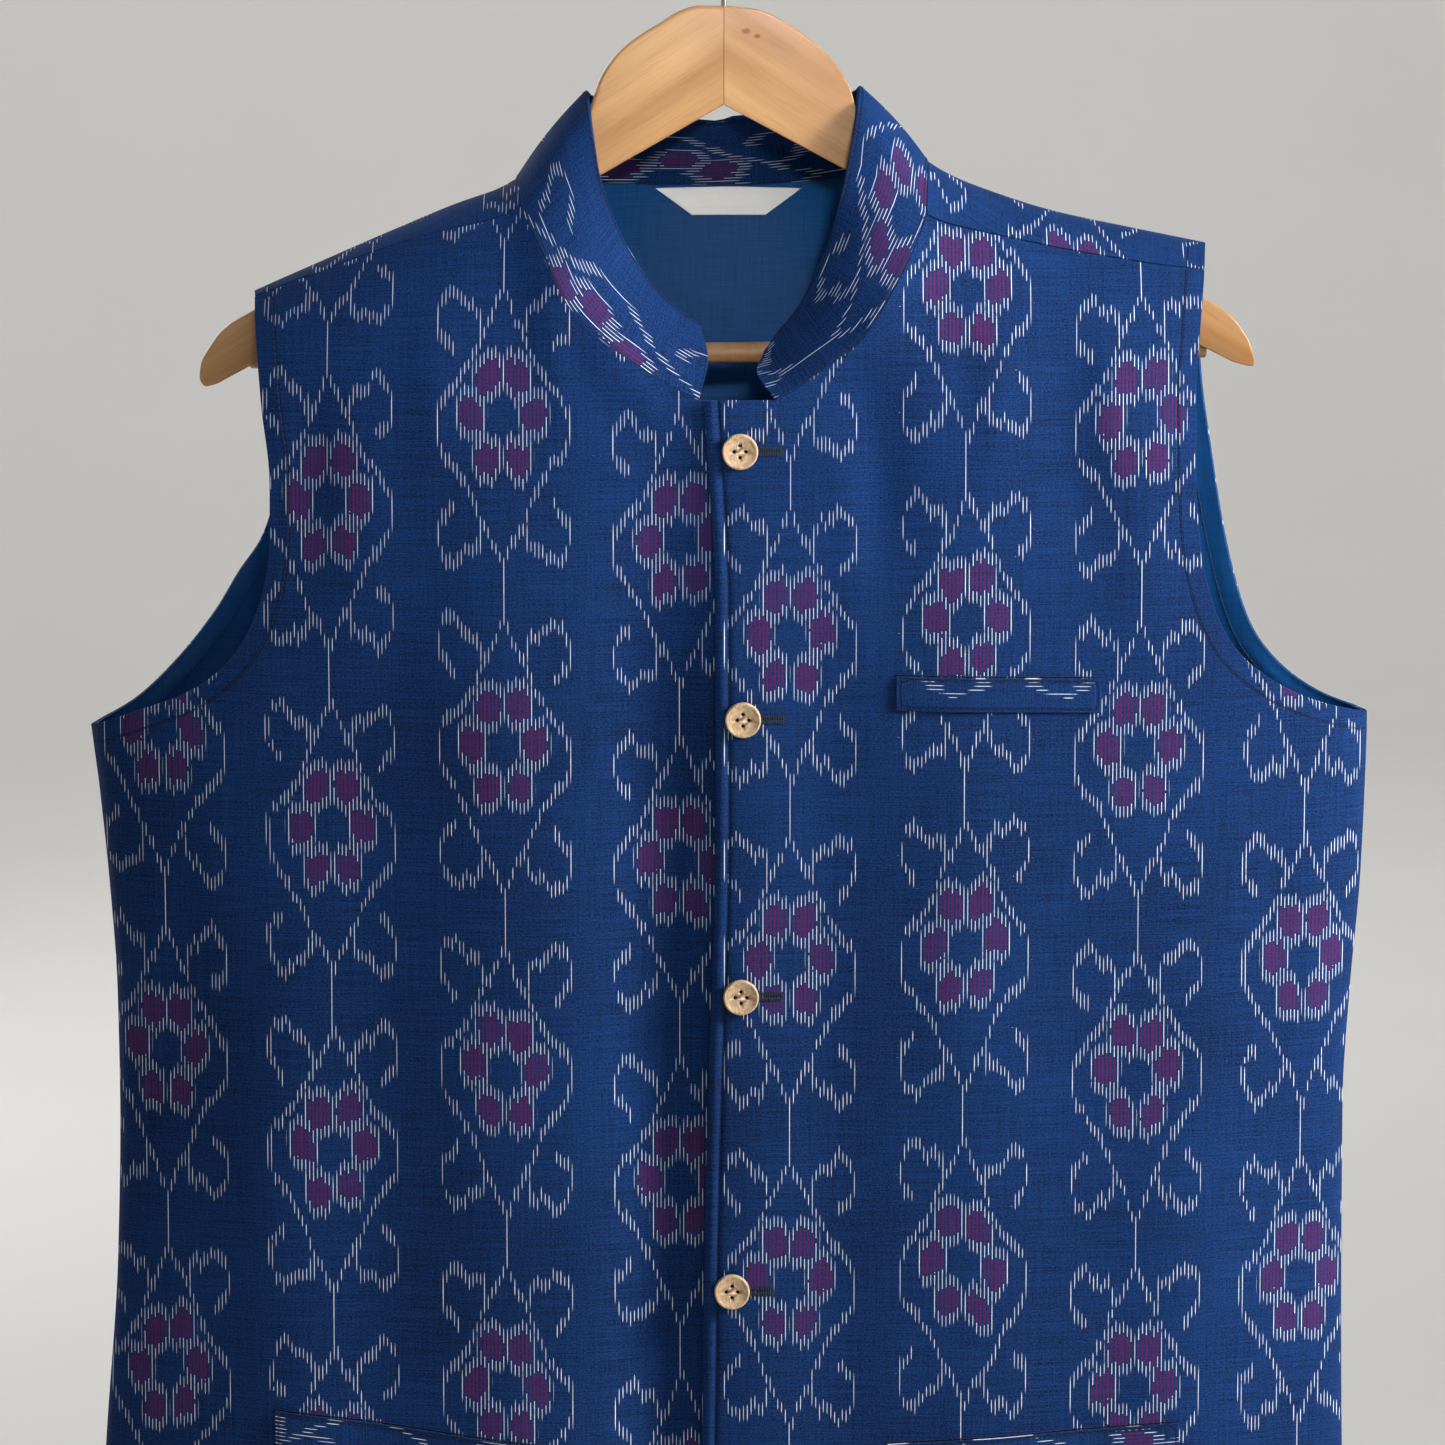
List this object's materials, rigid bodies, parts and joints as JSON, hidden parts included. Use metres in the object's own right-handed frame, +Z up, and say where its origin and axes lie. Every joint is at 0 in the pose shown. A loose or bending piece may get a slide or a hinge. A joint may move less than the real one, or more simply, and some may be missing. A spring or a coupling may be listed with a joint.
{
  "type": "nehru jacket on wooden hanger",
  "caption": "Sleeveless stand-collar jacket of warp-ikat cotton with a blue lining, buttoned up on a wooden hanger with a trouser bar and a wire hook.",
  "frame": {"origin": "inside the top of the hanger's hook, where a rail touches it", "axes": "+Z up, -Y out of the jacket's front, +X towards the wearer's left"},
  "size_m": [0.5563, 0.1086, 0.8706],
  "materials": {
    "ikat_cotton": "matt handwoven cotton, indigo with white and purple warp ikat",
    "lining": "plain lining cloth with a slight sheen",
    "label_cloth": "bare woven label",
    "coconut_shell": "sanded coconut shell",
    "hanger_wood": "satin varnish",
    "hook_wire": "polished"
  },
  "bodies": {
    "root": {"front_left": "ikat_cotton", "front_right": "ikat_cotton", "back": "ikat_cotton", "collar": "ikat_cotton", "chest_welt": "ikat_cotton", "pocket_welt_left": "ikat_cotton", "pocket_welt_right": "ikat_cotton", "lining_back": "lining", "label": "label_cloth", "button_1": "coconut_shell", "button_2": "coconut_shell", "button_3": "coconut_shell", "button_4": "coconut_shell", "button_5": "coconut_shell", "hanger_arm_left": "hanger_wood", "hanger_arm_right": "hanger_wood", "trouser_bar": "hanger_wood", "hook": "hook_wire"}
  },
  "joints": []
}
